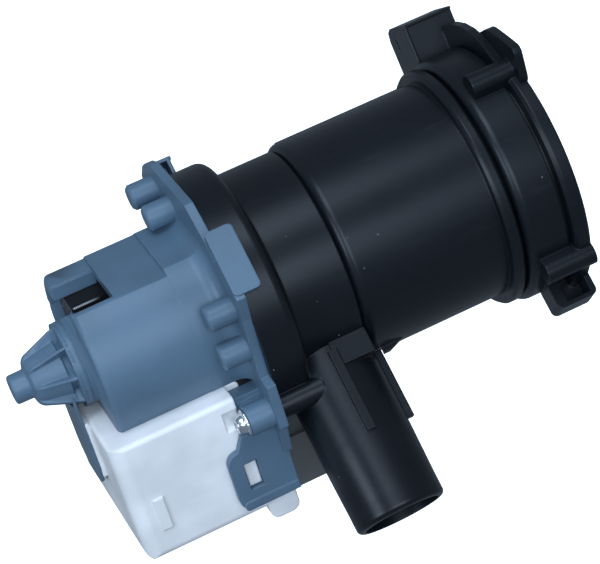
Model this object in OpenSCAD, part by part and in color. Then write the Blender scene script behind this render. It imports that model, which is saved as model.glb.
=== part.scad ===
/* [Filter chamber] */
// Radius of the flange round the filter mouth
flange_r = 45; // [43.5:0.1:48]
// Thickness of that flange
flange_t = 5.2; // [4:0.1:8]
// Radius of the collar behind the flange
collar_r = 42; // [41.8:0.1:43]
// Length of the collar
collar_l = 14.8; // [13:0.1:20]
// Radius of the bead ring between collar and chamber
bead_r = 40.7; // [38.5:0.1:41.8]
// Outside radius of the filter chamber
chamber_r = 37; // [36:0.1:38]
// Length of the filter chamber
chamber_l = 50.3; // [46:0.1:65]
// Wall of the chamber, collars and casings
wall = 2.6; // [1.8:0.1:3.2]
// Bore radius of the filter mouth
mouth_r = 38.4; // [37.8:0.1:39]

/* [Inlet collar] */
// Outside radius of the inlet collar
inlet_r = 19; // [14:0.1:21]
// Distance from the pump axis to the end of the inlet collar
inlet_reach = 58; // [50:0.5:64]

/* [Impeller casing] */
// Outside radius of the impeller casing
casing_r = 35.4; // [34.6:0.1:36.4]
// Length of the impeller casing up to its rear ring
casing_l = 21.7; // [20:0.1:28]
// Radius of the rear ring that the motor locks onto
ring_r = 41.5; // [41:0.1:44]
// Length of the rear ring
ring_l = 12.9; // [11:0.1:16]
// Radius of the suction eye in the wall between the chambers
eye_r = 12.5; // [9:0.1:15]

/* [Outlet spout] */
// Outside radius of the outlet spout
spout_r = 15; // [12:0.1:16]
// Wall of the outlet spout
spout_wall = 2.3; // [1.6:0.1:3]
// Distance from the pump axis to the mouth of the spout
spout_reach = 87.4; // [70:0.5:110]

/* [Front fixings] */
// Distance from the pump axis to each screw boss
screw_circle_r = 44.7; // [44.4:0.1:46]
// Radius of a screw boss
screw_boss_r = 3.8; // [3:0.1:4.4]
// Length of a screw boss
screw_boss_l = 17; // [10:0.5:20]
// Radius of the pilot hole in a screw boss
screw_hole_r = 1.7; // [1:0.1:2]
// Angle of the first screw boss
screw_turn = 66; // [60:1:72]

/* [Motor housing] */
// Angle between the motor and the spout, about the pump axis
motor_turn = 45; // [30:1:60]
// Thickness of the motor flange plate
plate_t = 3; // [2:0.1:4]
// Radius of the rounded motor shell
shell_r = 29; // [28:0.1:31]
// Height of the flat on top of the shell, from the motor axis
shell_flat = 24.2; // [23.2:0.1:26]
// Length of the shell behind the flange plate
shell_l = 44.5; // [42:0.5:50]
// Length of the covered part of the top flat
roof_l = 30.2; // [24:0.1:36]
// Wall of the shell
shell_wall = 2; // [1.4:0.1:2.4]
// Radius of the pegs behind the flange plate
peg_r = 4.3; // [3:0.1:5]
// Length of those pegs
peg_l = 9.1; // [6:0.1:14]
// Base radius of the ribbed nose
nose_r = 13.6; // [12.5:0.1:15]
// Length of the ribbed nose
nose_l = 12; // [10:0.1:16]
// Number of ribs on the nose
nose_ribs = 8; // [6:1:12]

/* [Winding case] */
// Width of the winding case
case_w = 66; // [64:0.5:70]
// Depth of the winding case, away from the motor axis
case_h = 44.4; // [42:0.1:50]
// Rounding of the winding case
case_round = 5; // [3:0.1:7]

/* [Rotor and impeller] */
// Radius of the rotor magnet
magnet_r = 11; // [9:0.1:11.8]
// Length of the rotor magnet
magnet_l = 30; // [24:0.5:32]
// Radius of the rotor shaft
shaft_r = 2.5; // [2:0.05:2.8]
// Number of impeller blades
blades = 6; // [4:1:8]
// Radius over the impeller blades
impeller_r = 21; // [17:0.5:26]
// Width of the impeller blades along the axis
blade_w = 10; // [8:0.5:11]

/* [Filter insert] */
// Radius over the filter basket
basket_r = 31.6; // [28:0.1:32]
// Length of the filter basket behind the plug
basket_l = 42; // [30:0.5:46]
// Number of slots round the basket
basket_slots = 12; // [8:2:20]

/* [Clearances] */
// Radial running clearance of the shaft in its bearings
run_clear = 0.05; // [0.02:0.01:0.09]
// Clearance between parts that move past each other
move_clear = 0.4; // [0.3:0.05:0.6]
// Clearance between parts fitted into each other
fit_clear = 0.05; // [0.02:0.01:0.1]

/* [Hidden] */
black = "#1d2126";
blue = "#5b7f9e";
white = "#dfe6f0";
grey = "#646b69";

// stations along the pump axis, counted from the face of the mouth
x_collar = -flange_t;
x_bead = x_collar - collar_l;
bead_l = 5.1;
x_chamber = x_bead - bead_l;
x_joint = x_chamber - chamber_l;
x_ring = x_joint - casing_l;
x_motor = x_ring - ring_l;
x_plate = x_motor - plate_t;
x_shell = x_plate - shell_l;
x_roof = x_plate - roof_l;
chamber_in = chamber_r - wall;
casing_in = casing_r - wall;
spout_x = x_joint - 13.4;
spout_in = spout_r - spout_wall;
spout_root = spout_r + 0.3;
hose_l = 22;

// a solid turned about the pump axis from points given as radius, station
module turned(pts, fn = 96) rotate([0, 90, 0]) rotate_extrude($fn = fn) polygon(pts);
// a flat outline drawn in the cross section and pushed along the pump axis
module along(x0, x1) translate([min(x0, x1), 0, 0]) rotate([90, 0, 90])
    linear_extrude(abs(x1 - x0)) children();
module rod(x0, x1, r, y = 0, z = 0, fn = 48) translate([min(x0, x1), y, z]) rotate([0, 90, 0])
    cylinder(r = r, h = abs(x1 - x0), $fn = fn);
module cone(x0, x1, r0, r1, fn = 48) translate([x0, 0, 0]) rotate([0, x1 > x0 ? 90 : -90, 0])
    cylinder(r1 = r0, r2 = r1, h = abs(x1 - x0), $fn = fn);
module box(a, b) translate([min(a[0], b[0]), min(a[1], b[1]), min(a[2], b[2])])
    cube([abs(b[0] - a[0]), abs(b[1] - a[1]), abs(b[2] - a[2])]);
// a rectangle with round corners between two corners, with its own radius e at the far end
module rounded(a, b, r, e = 0) {
    s = e > 0 ? e : r;
    translate([a[0] + r, a[1]]) square([b[0] - a[0] - r - s, b[1] - a[1]]);
    translate([a[0], a[1] + r]) square([2 * r, b[1] - a[1] - 2 * r]);
    translate([b[0] - 2 * s, a[1] + s]) square([2 * s, b[1] - a[1] - 2 * s]);
    for (y = [a[1] + r, b[1] - r]) translate([a[0] + r, y]) circle(r = r, $fn = 40);
    for (y = [a[1] + s, b[1] - s]) translate([b[0] - s, y]) circle(r = s, $fn = 40);
}
module motor_frame() rotate([motor_turn, 0, 0]) children();
function arc(c, r, a0, a1, n = 6) = [for (i = [0:n]) let (a = a0 + (a1 - a0) * i / n)
    [c[0] + r * cos(a), c[1] + r * sin(a)]];
// an outline with each corner turned into a short curve that starts d before it
function soft(p, d, n = 5) = [for (i = [0:len(p) - 1])
    let (a = p[(i + len(p) - 1) % len(p)], b = p[i], c = p[(i + 1) % len(p)],
        s = b + d * (a - b) / norm(a - b), e = b + d * (c - b) / norm(c - b))
    for (k = [0:n]) let (t = k / n) (1 - t) * (1 - t) * s + 2 * t * (1 - t) * b + t * t * e];
// a ring of round section about the pump axis
module ring_seal(major, minor, x) translate([x, 0, 0]) rotate([0, 90, 0])
    rotate_extrude($fn = 96) translate([major, 0]) circle(r = minor, $fn = 24);

// filter chamber
mouth_l = 15;
lug_in = 4.2;
lug_w = 3.4;
lug_reach = 1.7;
lug_angle = 24;
inlet_x = x_chamber - 25;
inlet_in = inlet_r - wall;
shoulder = 2.6;
ear_t = 2.7;
ear_pts = [[37.5, 24], [33.4, 40], [26.9, 46.6], [20, 53], [11.4, 44.6], [12, 38], [30, 22]];
web_pts = [[43, 6], [47.3, 6.6], [48.5, 10.5], [46.2, 17.6], [42.4, 24.6], [37.8, 30.4], [33.6, 33.9],
    [27.4, 36.9], [22.6, 38.9], [20, 36], [36, 14]];

// lug in front of the flange plane's rear half, and the curved web behind it
module mouth_ear() {
    along(-ear_t, 0) polygon(soft(ear_pts, 2.6));
    along(x_collar, 0.1 - ear_t) polygon(web_pts);
}
module screw_boss(a) rotate([a, 0, 0]) {
    rod(-screw_boss_l, 0, screw_boss_r, screw_circle_r);
    box([-screw_boss_l, collar_r - 1.5, -screw_boss_r], [0, screw_circle_r, screw_boss_r]);
}
bracket_l = 17.2;
bracket_t = 2.2;
bracket_turn = 20;
bracket_out = 54.6;
bracket_near = -8.4;
bracket_far = -30;
// bracket above the mouth: a shallow panel on the near side and a hollow behind it
module top_bracket() rotate([bracket_turn, 0, 0]) difference() {
    along(-bracket_l, 0) polygon([[38, bracket_near], [bracket_out, bracket_near],
        [bracket_out, bracket_far + 4.6], [bracket_out - 1.3, bracket_far + 1.5],
        [bracket_out - 4.4, bracket_far], [27, bracket_far], [30, -14]]);
    box([-bracket_l + 0.9, 41, bracket_near - 0.8], [1, bracket_out - 0.9, bracket_near + 1]);
    difference() {
        box([-bracket_l + bracket_t, 20, bracket_far - 2], [-bracket_t, bracket_out - 1.7,
            bracket_near - 2.4]);
        rod(-bracket_l - 1, 1, collar_r - 0.5, 0, 0, 96);
    }
    box([-bracket_l - 1, 46.9, -23.7], [-bracket_l + bracket_t + 1, 50.6, -21.9]);
}
tab_pts = [[-14.2, -51.2], [0, -40.5]];
module bottom_tab() difference() {
    translate([0, 0, -5]) linear_extrude(10) rounded(tab_pts[0], tab_pts[1], 2);
    box([-10.4, -49.6, -3.2], [-2, -38, 5.1]);
}
module along_web() translate([0, 0, -1.5]) linear_extrude(3) polygon([[x_joint + 5.2, -chamber_r + 1],
    [x_joint + 5.2, -chamber_r - 2], [x_joint + 7.5, -chamber_r - 2], [x_joint + 12.5, -chamber_r],
    [x_joint + 12.5, -chamber_r + 1]]);
module filter_chamber() color(black) difference() {
    union() {
        turned(concat([[chamber_in, x_joint], [chamber_r - shoulder, x_joint]],
            arc([chamber_r - shoulder, x_joint + shoulder], shoulder, -90, 0),
            [[chamber_r, x_chamber], [bead_r - 0.8, x_chamber], [bead_r, x_chamber + 1],
            [bead_r, x_chamber + 3.4], [bead_r - 0.8, x_chamber + 4.3], [chamber_r, x_chamber + 4.3],
            [chamber_r, x_bead], [collar_r - 2.7, x_bead]],
            arc([collar_r - 2.7, x_bead + 2.7], 2.7, -90, 0),
            [[collar_r, x_collar - 1.2], [collar_r - 1.6, x_collar - 1.2], [collar_r - 1.6, x_collar],
            [flange_r - 1.1, x_collar], [flange_r, x_collar + 1.1], [flange_r, -0.6],
            [flange_r - 0.6, 0], [mouth_r, 0], [mouth_r, -mouth_l], [chamber_in, -mouth_l - 2.4]]));
        for (i = [0:3]) screw_boss(screw_turn + 90 * i);
        mouth_ear();
        top_bracket();
        bottom_tab();
        along_web();
        rotate([12, 0, 0]) box([x_joint + 3, chamber_r - 0.5, -0.8],
            [x_chamber - 1, chamber_r + 0.3, 0.8]);
        translate([inlet_x, 0, 0]) rotate([180, 0, 0]) {
            cylinder(r = inlet_r, h = inlet_reach - 1, $fn = 72);
            translate([0, 0, inlet_reach - 1]) cylinder(r1 = inlet_r, r2 = inlet_r - 0.7, h = 1, $fn = 72);
            cylinder(r = inlet_r + 0.4, h = inlet_reach - 16, $fn = 72);
        }
    }
    turned([[0, x_joint - 1], [chamber_in, x_joint - 1], [chamber_in, -mouth_l - 2.4],
        [mouth_r, -mouth_l], [mouth_r, 1], [0, 1]]);
    translate([inlet_x, 0, 0]) rotate([180, 0, 0]) cylinder(r = inlet_in, h = inlet_reach + 1, $fn = 72);
    // seat round the root of the spout
    translate([spout_x, -chamber_in + 4, 0]) rotate([90, 0, 0]) cylinder(r = spout_root + fit_clear,
        h = 12, $fn = 72);
    for (i = [0:3]) rotate([screw_turn + 90 * i, 0, 0])
        rod(-screw_boss_l + 2, 1, screw_hole_r, screw_circle_r, 0, 32);
    // groove and entry ways for the two lugs of the filter plug
    rod(-lug_in - lug_w - 2 * move_clear, -lug_in, mouth_r + lug_reach, 0, 0, 96);
    for (s = [90, 270]) rotate([s, 0, 0]) intersection() {
        rod(-lug_in - 1, 1, mouth_r + lug_reach, 0, 0, 96);
        along(-20, 2) polygon([[0, 0], 60 * [cos(lug_angle / 2 + 2), -sin(lug_angle / 2 + 2)],
            60 * [cos(lug_angle / 2 + 2), sin(lug_angle / 2 + 2)]]);
    }
}

// impeller casing with the outlet spout
spigot_l = 4.6;
seal_gap = 2;
rear_step = 5.8;
rear_bore = casing_in + 4.8;
lip = 1.7;
lock_u = -22.6;
lock_n = case_w / 2 + 3.8;
lock_r = 4.35;
screw_r = 1.9;
rib_x = spout_x + 0.6;
lock_l = 8;
head_r = 4.5;
module impeller_casing() color(black) difference() {
    union() {
        turned(concat([[0, x_motor], [ring_r, x_motor]],
            arc([ring_r - 3, x_ring - 3], 3, 0, 90),
            [[casing_r + 1, x_ring], [casing_r, x_ring + 1], [casing_r, x_joint - 0.9],
            [casing_r - 0.9, x_joint], [chamber_in - fit_clear, x_joint],
            [chamber_in - fit_clear, x_joint + spigot_l], [0, x_joint + spigot_l]]));
        translate([spout_x, 0, 0]) rotate([90, 0, 0]) rotate_extrude($fn = 72)
            polygon(concat([[0, 0], [spout_root, 0], [spout_root, spout_reach - lip - hose_l - 0.6],
                [spout_r, spout_reach - lip - hose_l]],
                arc([spout_r - lip, spout_reach - lip], lip, 0, 90), [[0, spout_reach]]));
        box([rib_x, -39.6, 2], [x_joint - 0.4, -casing_r + 4, spout_r + 1]);
        box([rib_x - 1.5, -61.5, 6], [rib_x + 1.5, -34, spout_r + 1.6]);
        box([spout_x, -61, -1.5], [x_joint + 4.3, -chamber_r - 0.4, 1.5]);
        motor_frame() rod(x_motor + 0.2, x_motor + 15.2, lock_r, lock_u, lock_n);
    }
    turned([[0, x_motor - 1], [rear_bore, x_motor - 1], [rear_bore, x_motor + rear_step],
        [casing_in, x_motor + rear_step], [casing_in, x_joint], [eye_r, x_joint],
        [eye_r, x_joint + spigot_l + 1], [0, x_joint + spigot_l + 1]]);
    turned([[chamber_in - seal_gap, x_joint + 0.9], [chamber_in + 1, x_joint + 0.9],
        [chamber_in + 1, x_joint + 0.9 + seal_gap], [chamber_in - seal_gap, x_joint + 0.9 + seal_gap]]);
    translate([spout_x, 0, 0]) rotate([90, 0, 0]) cylinder(r = spout_in, h = spout_reach + 1, $fn = 72);
    motor_frame() rod(x_motor - 1, x_motor + 10, screw_r + fit_clear, lock_u, lock_n, 32);
}
module joint_seal() color("#101214") ring_seal(chamber_in - seal_gap / 2, seal_gap / 2 - fit_clear / 2,
    x_joint + 0.9 + seal_gap / 2);
seal_r = 1.3;
module casing_seal() color("#101214") ring_seal(rear_bore - seal_r, seal_r - fit_clear / 2,
    x_motor + 3.4);

// motor housing, drawn upright in the motor's own frame: y is up, z is the near side
low = -15;
tube_r = magnet_r + 1.2;
tube_out = tube_r + 2.8;
end_l = 1.8;
slot_n = [-3.2, 13.6];
fillet_r = 4.8;
cap_r = 19;
cap_in = 2;
peg_at = [[31.9, -24.2], [31, -9.4], [13.8, 31.5], [-0.2, 32.6]];
side_n = case_w / 2 + 9.8;
plate_pts = [[41.5, -21], [41.5, 11], [21.6, 41.4], [13, 39.4], [-9.5, side_n - 4.6], [-10.5, side_n],
    [-26.5, side_n], [-28.5, side_n - 2.8], [-39, side_n - 5.8], [-39, 5.8 - side_n],
    [-28.5, 2.8 - side_n], [-26.5, -side_n], [-10.5, -side_n], [-9.5, 4.6 - side_n], [21, -38.2],
    [23, -40.5], [29.2, -40.2], [35.6, -34], [38.5, -29.5]];
module shell_section(r, top, bottom) intersection() {
    circle(r = r, $fn = 120);
    translate([bottom, -r]) square([top - bottom, 2 * r]);
}
module peg(u, n) {
    rod(x_plate - peg_l + 0.9, x_plate + 0.5, peg_r, u, n, 36);
    cone_at(x_plate - peg_l + 0.9, x_plate - peg_l, peg_r, peg_r - 0.9, u, n);
}
module cone_at(x0, x1, r0, r1, u, n, fn = 36) translate([0, u, n]) cone(x0, x1, r0, r1, fn);
module nose() {
    x0 = x_shell - 4;
    cone(x0, x0 - nose_l, nose_r - 1.6, nose_r - 5.4, 64);
    cone(x0 - nose_l, x0 - nose_l - 2.6, nose_r - 5.4, nose_r * 0.42, 64);
    rod(x0 - nose_l - 1, x0 - nose_l - 7.2, nose_r * 0.36);
    cone(x0 - nose_l - 7.2, x0 - nose_l - 7.8, nose_r * 0.36, nose_r * 0.31);
    for (i = [0:nose_ribs - 1]) rotate([(i + 0.5) * 360 / nose_ribs, 0, 0])
        translate([0, 0, -0.7]) linear_extrude(1.4) polygon([[x0 + 0.5, 4], [x0 + 0.5, nose_r],
            [x0 - 1, nose_r], [x0 - nose_l + 0.6, nose_r - 4.4], [x0 - nose_l, nose_r - 5.4],
            [x0 - nose_l, 4]]);
}
bracket_n = case_w / 2 + 3;
window = [[x_plate - 13.3, -47.6], [x_plate - 8.7, -37.6]];
module window_bracket(s) {
    difference() {
        union() {
            translate([0, 0, s > 0 ? bracket_n - 2.4 : -bracket_n]) linear_extrude(2.4) {
                rounded([x_plate - 18, -54.2], [x_plate + 8, -32.8], 4.2);
                polygon([[x_plate, -34], [x_plate, -20.5], [x_plate - 4, -27.5],
                    [x_plate - 7, lock_u - head_r - 0.5], [x_plate - 11, lock_u - head_r - 0.7],
                    [x_plate - 13.6, -32.8], [x_plate - 13.6, -37]]);
            }
            translate([0, 0, s > 0 ? bracket_n - 0.4 : -bracket_n - 0.6]) linear_extrude(1)
                rounded([x_plate - 17, -54.2], [x_plate + 8, -51.2], 1.2);
        }
        translate([0, 0, s > 0 ? bracket_n - 5 : -bracket_n - 5]) linear_extrude(10)
            translate(window[0]) square(window[1] - window[0]);
        translate([0, 0, s > 0 ? bracket_n - 5 : -bracket_n - 5]) linear_extrude(10)
            translate([x_plate + 2, -60]) square([7, 40]);
    }
}
module motor_housing() color(blue) motor_frame() difference() {
    union() {
        along(x_plate, x_motor) polygon(plate_pts);
        // raised rim round the shell, with a hollow curve up to the plate
        along(x_plate - 13, x_plate) shell_section(shell_r + 0.2, shell_flat + 1.6, low);
        intersection() {
            turned(concat([[0, x_plate - fillet_r]], arc([shell_r + 0.2 + fillet_r, x_plate - fillet_r],
                fillet_r, 180, 92, 6), [[shell_r + fillet_r, x_plate + 0.5], [0, x_plate + 0.5]]));
            translate([0, 0, -60]) linear_extrude(120) polygon(concat([[x_plate - fillet_r, low]],
                arc([x_plate - fillet_r, shell_flat + 1.6 + fillet_r], fillet_r, -90, -2, 6),
                [[x_plate + 0.5, shell_flat + 1.4 + fillet_r], [x_plate + 0.5, low]]));
        }
        along(x_shell - end_l, x_plate) shell_section(shell_r, shell_flat, low);
        // collar under the nose, cut off above the winding case
        intersection() {
            turned([[0, x_shell], [17.4, x_shell - 2.5], [17.4, x_shell - 4],
                [16.4, x_shell - 4.6], [0, x_shell - 4.6]]);
            box([x_shell - 8, low + 0.5, -20], [x_shell + 1, 20, 20]);
        }
        nose();
        for (p = peg_at) peg(p[0], p[1]);
        rod(x_plate - lock_l, x_plate + 0.5, 4.9, lock_u, lock_n);
        box([x_plate - lock_l - 0.6, -21.4, 25.5], [x_plate + 0.5, -17, 31]);
        box([x_plate - lock_l, -21.4, 25.5], [x_plate + 0.5, -19, lock_n]);
        window_bracket(1);
        window_bracket(-1);
        // cover that reaches down behind the winding case
        along(x_shell - 8.5, x_shell - 6.6) {
            rounded([-42, -12], [-8, 12], 10, 5);
            translate([-16, -12]) square([12, 24]);
        }
        box([x_shell - 8.5, low + 0.6, -12], [x_shell, -11.6, 12]);
        // snap block over the rear ring of the casing, and the hook on the far side
        rotate([-motor_turn, 0, 0]) {
            translate([0, 0, ring_r + 0.6]) linear_extrude(2.8)
                rounded([x_motor - 3, -12.7], [x_motor + 6, 9], 1.5);
            difference() {
                box([x_motor - 1, ring_r + 1, -6.5], [x_motor + 6, ring_r + 7.2, 1.5]);
                box([x_motor - 2, ring_r - 1, -5], [x_motor + 4.8, ring_r + 6, 2]);
            }
            box([x_motor - 1, ring_r + 6.6, -6.5], [x_motor + 6.8, ring_r + 7.6, 0]);
            box([x_motor - plate_t, 34, -6.5], [x_motor, ring_r + 7.6, 1.5]);
        }
        // spigot into the rear of the impeller casing
        turned([[rear_bore - 2 * seal_r - 2.4, x_motor - 1], [rear_bore - 2 * seal_r, x_motor - 1],
            [rear_bore - 2 * seal_r, x_motor + rear_step - 0.6],
            [rear_bore - 2 * seal_r - 2.4, x_motor + rear_step - 0.6]]);
    }
    // room for the core, open towards the winding case
    difference() {
        along(x_shell + shell_wall, x_plate - 8) shell_section(shell_r - shell_wall,
            shell_flat - shell_wall - 2.2, low - 1);
        rod(x_shell, x_plate, tube_out, 0, 0, 72);
    }
    // long slot beside the roof, and the lower tongue on its far side
    box([x_shell - end_l - 1, 17.2, slot_n[0]], [x_roof, 40, slot_n[1]]);
    box([x_shell + shell_wall, 14, slot_n[0]], [x_roof, 40, slot_n[1]]);
    box([x_shell - end_l - 1, shell_flat - 2.2, -40], [x_roof, 40, slot_n[0] + 1]);
    // rotor chamber and its cap seat
    rod(x_shell - 1, x_motor + 9, tube_r, 0, 0, 72);
    rod(x_shell - 5.5, x_shell, bearing_r + fit_clear, 0, 0, 48);
    rod(x_motor - cap_in, x_motor + 9, cap_r + fit_clear, 0, 0, 96);
    rod(x_plate - lock_l - 1, x_motor + 1, screw_r + 0.3, lock_u, lock_n, 32);
    // small triangular hole in the far ear
    rotate([-motor_turn, 0, 0]) along(x_plate - 1, x_motor + 1) polygon([[44, -5.2], [47.6, -5.2],
        [46, -1.4]]);
}

// rotor, bearings and the cap of the rotor chamber
bearing_r = 5.5;
bearing_l = 5;
core_x0 = x_shell + 3;
core_l = 26.6;
magnet_x = core_x0 + core_l / 2;
shaft_front = x_motor + 17.2;
cap_out = 3;
module rotor_magnet() color("#3c3d40") difference() {
    rod(magnet_x - magnet_l / 2, magnet_x + magnet_l / 2, magnet_r, 0, 0, 72);
    rod(magnet_x - magnet_l, magnet_x + magnet_l, shaft_r + fit_clear / 2, 0, 0, 48);
}
module rotor_shaft() color("#c3c7cc") union() {
    rod(x_shell - 4.8, shaft_front - 0.5, shaft_r);
    cone(shaft_front - 0.5, shaft_front, shaft_r, shaft_r - 0.5);
}
module bearing(x) difference() {
    rod(x - bearing_l / 2, x + bearing_l / 2, bearing_r);
    rod(x - bearing_l, x + bearing_l, shaft_r + run_clear);
}
module rear_bearing() color("#4a4a4c") bearing(x_shell - 0.2 - bearing_l / 2);
module front_bearing() color("#4a4a4c") bearing(x_motor - 1.6);
module chamber_cap() color("#2a2d31") difference() {
    union() {
        rod(x_motor - cap_in, x_motor + cap_out, cap_r, 0, 0, 96);
        rod(x_motor - cap_in - 3, x_motor, tube_r - fit_clear, 0, 0, 72);
    }
    rod(x_motor - 1.6 - bearing_l / 2, x_motor - 1.6 + bearing_l / 2 , bearing_r + fit_clear);
    rod(x_motor - 10, x_motor, bearing_r + fit_clear);
    rod(x_motor - 10, x_motor + 10, shaft_r + 0.4);
}

// impeller with its lost motion drive
hub_x0 = x_motor + 7.2;
hub_x1 = x_motor + 17;
dog_half = 30;
hub_r = 9.6;
hub_in = 7.9;
module sector(x0, x1, r0, r1, a0, a1) along(x0, x1) difference() {
    intersection() {
        circle(r = r1, $fn = 72);
        polygon([[0, 0], 20 * [cos(a0), sin(a0)], 20 * [cos((a0 + a1) / 2), sin((a0 + a1) / 2)],
            20 * [cos(a1), sin(a1)]]);
    }
    circle(r = r0, $fn = 72);
}
module drive_dog() color("#b9bec4") difference() {
    union() {
        rod(hub_x0 + 0.6, hub_x1 - 4, shaft_r + 1.7);
        sector(hub_x0 + 0.6, hub_x1 - 4, shaft_r + 0.5, hub_in - move_clear, -dog_half, dog_half);
    }
    rod(hub_x0 - 1, hub_x1, shaft_r + fit_clear / 2);
}
module impeller() color("#2c2f33") difference() {
    union() {
        rod(hub_x0, hub_x1, hub_r, 0, 0, 72);
        rod(hub_x0, hub_x0 + 1.4, hub_r + 4, 0, 0, 72);
        for (i = [0:blades - 1]) rotate([i * 360 / blades, 0, 0])
            translate([0, 0, -0.9]) linear_extrude(1.8) polygon([[hub_x0, hub_r - 1],
                [hub_x0, impeller_r], [hub_x0 + blade_w - 2, impeller_r],
                [hub_x0 + blade_w, impeller_r - 4], [hub_x1 - 0.5, hub_r - 1]]);
    }
    difference() {
        rod(hub_x0 - 1, hub_x1 - 3, hub_in, 0, 0, 72);
        sector(hub_x0 + 0.4, hub_x1 - 2, shaft_r + 2.2, hub_in + 1, dog_half + 3, 3 * dog_half + 3);
    }
    rod(hub_x0, hub_x1 + 1, shaft_r + run_clear, 0, 0, 48);
}

// laminated core and its two coils
leg_in = 11.5;
leg_out = 21.5;
core_low = -56;
coil_top = lock_u - head_r - 3.4;
module core_outline() difference() {
    union() {
        intersection() {
            circle(r = shell_r - shell_wall - 0.4, $fn = 96);
            translate([-18, -leg_out]) square([shell_flat - shell_wall - 0.4 + 18 - 2.4, 2 * leg_out]);
        }
        translate([core_low, -leg_out]) square([-core_low, 2 * leg_out]);
    }
    circle(r = tube_out + 0.2, $fn = 72);
    translate([5, -2.2]) square([30, 4.4]);
    translate([core_low + 10, -leg_in]) square([-core_low - 10 - 19, 2 * leg_in]);
    translate([-20, -2.2]) square([12, 4.4]);
}
module stator_core() color("#9aa0a6") motor_frame() along(core_x0, core_x0 + core_l) core_outline();
module coil(s) motor_frame() difference() {
    translate([0, coil_top, 0]) rotate([90, 0, 0]) linear_extrude(coil_top - core_low - 10.4)
        rounded([core_x0 - 5.2, s > 0 ? 5.2 : -27.8], [core_x0 + core_l + 5.2, s > 0 ? 27.8 : -5.2], 5);
    box([core_x0 - 0.3, -60, s > 0 ? leg_in - 0.3 : -leg_out - 0.3],
        [core_x0 + core_l + 0.3, 0, s > 0 ? leg_out + 0.3 : -leg_in + 0.3]);
}
module coil_near() color("#b5692f") coil(1);
module coil_far() color("#b5692f") coil(-1);

// winding case
case_x0 = x_shell - 6.4;
case_x1 = x_plate - 4.6;
case_top = low - fit_clear;
case_wall = 2.2;
case_rim = 1.5;
notch_r = 4.9 + move_clear;
module winding_case() color(white) motor_frame() difference() {
    union() {
        intersection() {
            along(case_x0, case_x1) rounded([case_top - case_h, -case_w / 2], [case_top, case_w / 2],
                case_round - 2, case_rim);
            translate([0, case_top, 0]) rotate([90, 0, 0]) linear_extrude(case_h)
                rounded([case_x0, -case_w / 2], [case_x1, case_w / 2], case_round);
            translate([0, 0, -case_w / 2]) linear_extrude(case_w) mirror([1, -1])
                rounded([case_top - case_h, case_x0], [case_top, case_x1], case_round - 1, case_rim);
        }
        // catches that look through the windows of the brackets
        for (s = [-1, 1]) translate([0, 0, s > 0 ? case_w / 2 - 1 : -case_w / 2 - 1.6])
            linear_extrude(2.6) translate(window[0] + [0.3, 0.6]) square(window[1] - window[0] - [0.6, 0.9]);
        // foot below the front end
        translate([0, 0, 22]) linear_extrude(10.6) rounded([case_x1 - 4.6, case_top - case_h - 5],
            [case_x1 + 5.4, case_top - case_h + 9], 3);
        // raised pad on the near face
        translate([0, 0, case_w / 2 - 0.5]) linear_extrude(1.1)
            translate([case_x0 + 7.4, -49.3]) square([3.6, 12]);
    }
    difference() {
        box([case_x0 + case_wall, case_top - case_h + case_wall, -case_w / 2 + case_wall],
            [case_x1 - case_wall, case_top - case_wall, case_w / 2 - case_wall]);
        // thicker round the notch for the screw
        rod(x_plate - lock_l - 9, case_x1 + 1, notch_r + 2, lock_u, lock_n);
        box([x_plate - lock_l - 3.4, -24.4, 22.6], [case_x1 + 1, case_top + 1, case_w / 2 + 1]);
    }
    box([core_x0 - 0.4, case_top - 10, -leg_out - 0.4], [core_x0 + core_l + 0.4, case_top + 1,
        leg_out + 0.4]);
    // notch for the locking screw and for the tab that carries it
    rod(x_plate - lock_l - 6, case_x1 + 1, notch_r, lock_u, lock_n);
    box([x_plate - lock_l - 1, -22, 25], [case_x1 + 1, case_top + 1, case_w / 2 + 1]);
}

// connector block with its two blades
con_x1 = x_motor + 15.5;
con_u0 = -71.4;
con_u1 = -ring_r - 4.6;
module connector_housing() color(grey) motor_frame() difference() {
    union() {
        box([x_motor - 2.6, con_u0, -16], [con_x1, con_u1 - 6, 13]);
        box([case_x1 + fit_clear, con_u1 - 12, -12], [con_x1 - 1.4, con_u1, 11]);
    }
    box([x_motor - 0.8, con_u0 + 1.8, -14.2], [con_x1 + 1, con_u1 - 8, 11.2]);
}
module terminal(s) motor_frame() difference() {
    box([x_motor - 0.8, con_u1 - 12.8, s * 6 - 4.65], [con_x1 - 3.5, con_u1 - 12, s * 6 + 1.65]);
    translate([con_x1 - 7, con_u1 - 11, s * 6 - 1.5]) rotate([90, 0, 0]) cylinder(r = 0.8, h = 3, $fn = 24);
}
module terminal_live() color("#c8a24a") terminal(1);
module terminal_neutral() color("#c8a24a") terminal(-1);

// screw that locks the motor to the casing
module locking_screw() color("#c9ccd0") motor_frame() translate([0, lock_u, lock_n]) difference() {
    union() {
        rod(x_plate - lock_l, x_motor + 9, screw_r, 0, 0, 32);
        cone(x_plate - lock_l, x_plate - lock_l - 2.8, head_r, head_r - 0.3);
        cone(x_plate - lock_l - 2.8, x_plate - lock_l - 4, head_r - 0.3, head_r - 1.6);
    }
    for (a = [20, 110]) rotate([a, 0, 0]) box([x_plate - lock_l - 4.5, -2.6, -0.45],
        [x_plate - lock_l - 2.4, 2.6, 0.45]);
}

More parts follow.
